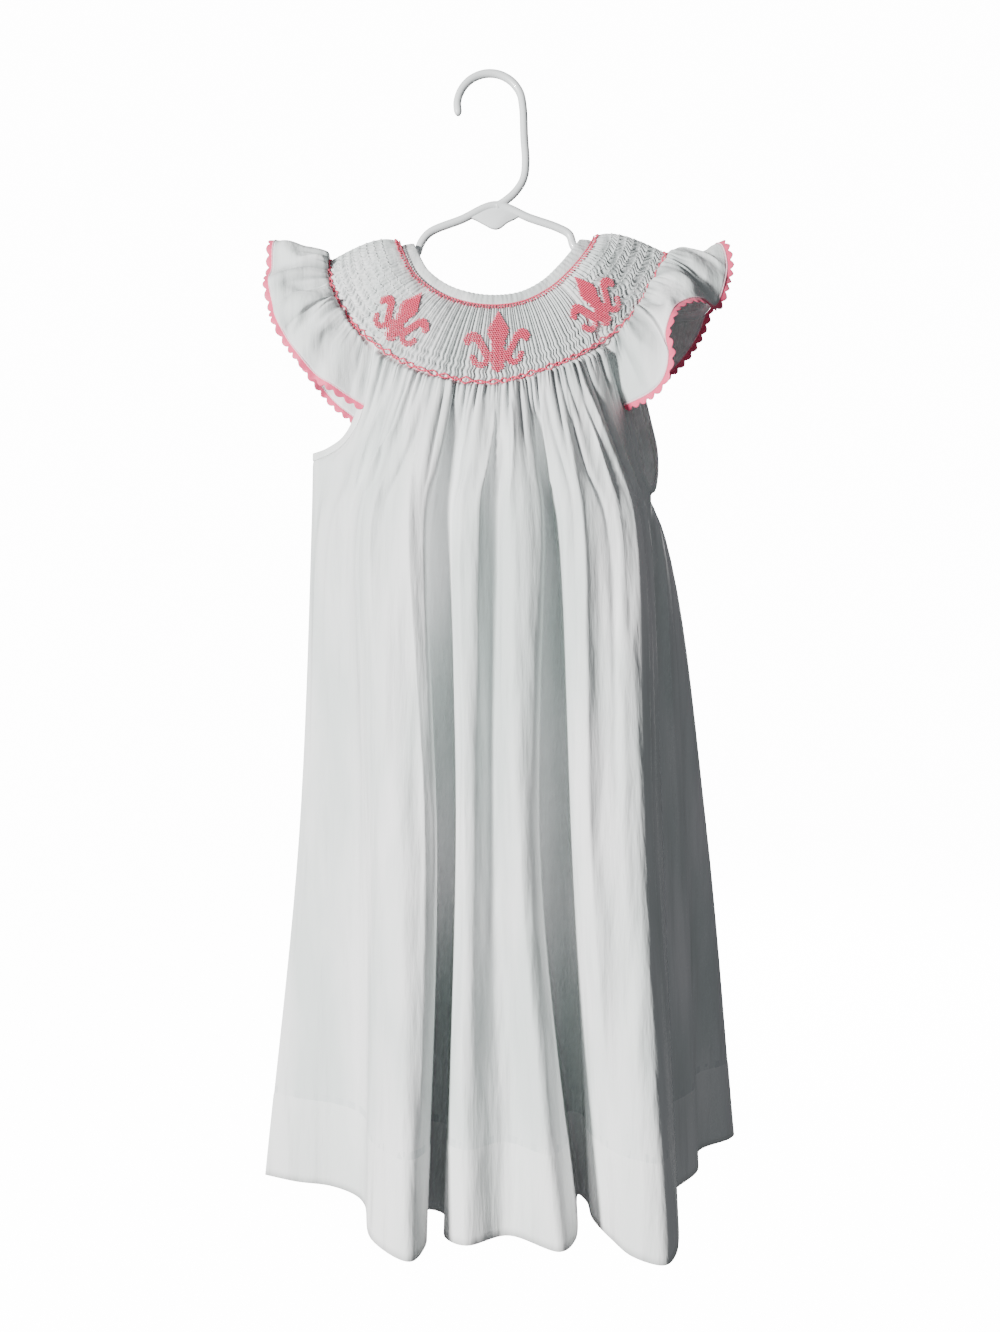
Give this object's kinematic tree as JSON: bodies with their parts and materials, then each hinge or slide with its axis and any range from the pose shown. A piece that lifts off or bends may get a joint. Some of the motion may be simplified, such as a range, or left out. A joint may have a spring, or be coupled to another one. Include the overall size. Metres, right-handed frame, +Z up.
{
  "type": "girl's smocked dress on a child's hanger",
  "caption": "Girl's cotton dress with a round smocked yoke, raglan flutter sleeves with scalloped trim and a full deep-hemmed skirt, hung on a plain plastic hanger.",
  "frame": {"origin": "inside top of the hanger's hook, where a rod or peg holds it up", "axes": "+Z up, the dress's front faces -Y, +X to the right of a person facing the front"},
  "size_m": [0.3458, 0.213, 0.7758],
  "materials": {
    "cotton": "matt fine white cotton batiste",
    "pink_trim": "matt pink cotton lace edging",
    "pearl_buttons": "pearly plastic",
    "hanger_plastic": "smooth white plastic"
  },
  "bodies": {
    "root": {"front": "cotton", "back_right": "cotton", "back_left": "cotton", "sleeve_left": "cotton", "sleeve_right": "cotton", "neck_binding": "cotton", "armhole_binding_left": "cotton", "armhole_binding_right": "cotton", "sleeve_trim_left": "pink_trim", "sleeve_trim_right": "pink_trim", "back_placket": "cotton", "button_1": "pearl_buttons", "button_2": "pearl_buttons", "button_3": "pearl_buttons", "hanger": "hanger_plastic"}
  },
  "joints": []
}
